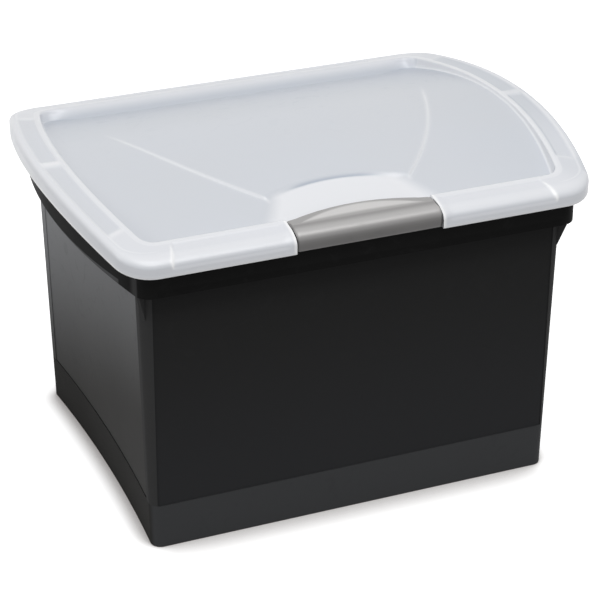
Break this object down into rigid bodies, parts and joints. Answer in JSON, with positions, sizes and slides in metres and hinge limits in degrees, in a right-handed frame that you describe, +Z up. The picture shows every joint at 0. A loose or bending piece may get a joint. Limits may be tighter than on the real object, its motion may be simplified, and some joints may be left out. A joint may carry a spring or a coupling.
{
  "type": "portable file box",
  "caption": "Portable file box: tapered tub with concave ends and hanging rails, domed see-through lid hinged at the back, rocker latch at the front.",
  "frame": {"origin": "centre of the box's underside, in the plane it stands on", "axes": "+X to the right as seen from the latch side, +Y from the latch to the hinges, +Z up"},
  "size_m": [0.47, 0.356, 0.3062],
  "materials": {
    "black_plastic": "fine grained",
    "frosted_plastic": "frosted, see-through",
    "grey_plastic": "satin metallic grey"
  },
  "bodies": {
    "tub": {"tub": "black_plastic"},
    "lid": {"lid": "frosted_plastic"},
    "latch": {"latch": "grey_plastic"}
  },
  "joints": [
    {"name": "lid_hinge", "type": "hinge", "parent": "tub", "child": "lid", "pos_m": [0, 0.1748, 0.2725], "axis": [-1, 0, 0], "range_deg": [0, 105]},
    {"name": "latch_pivot", "type": "hinge", "parent": "lid", "child": "latch", "pos_m": [0, -0.157, 0.2864], "axis": [-1, 0, 0], "range_deg": [0, 40]}
  ]
}
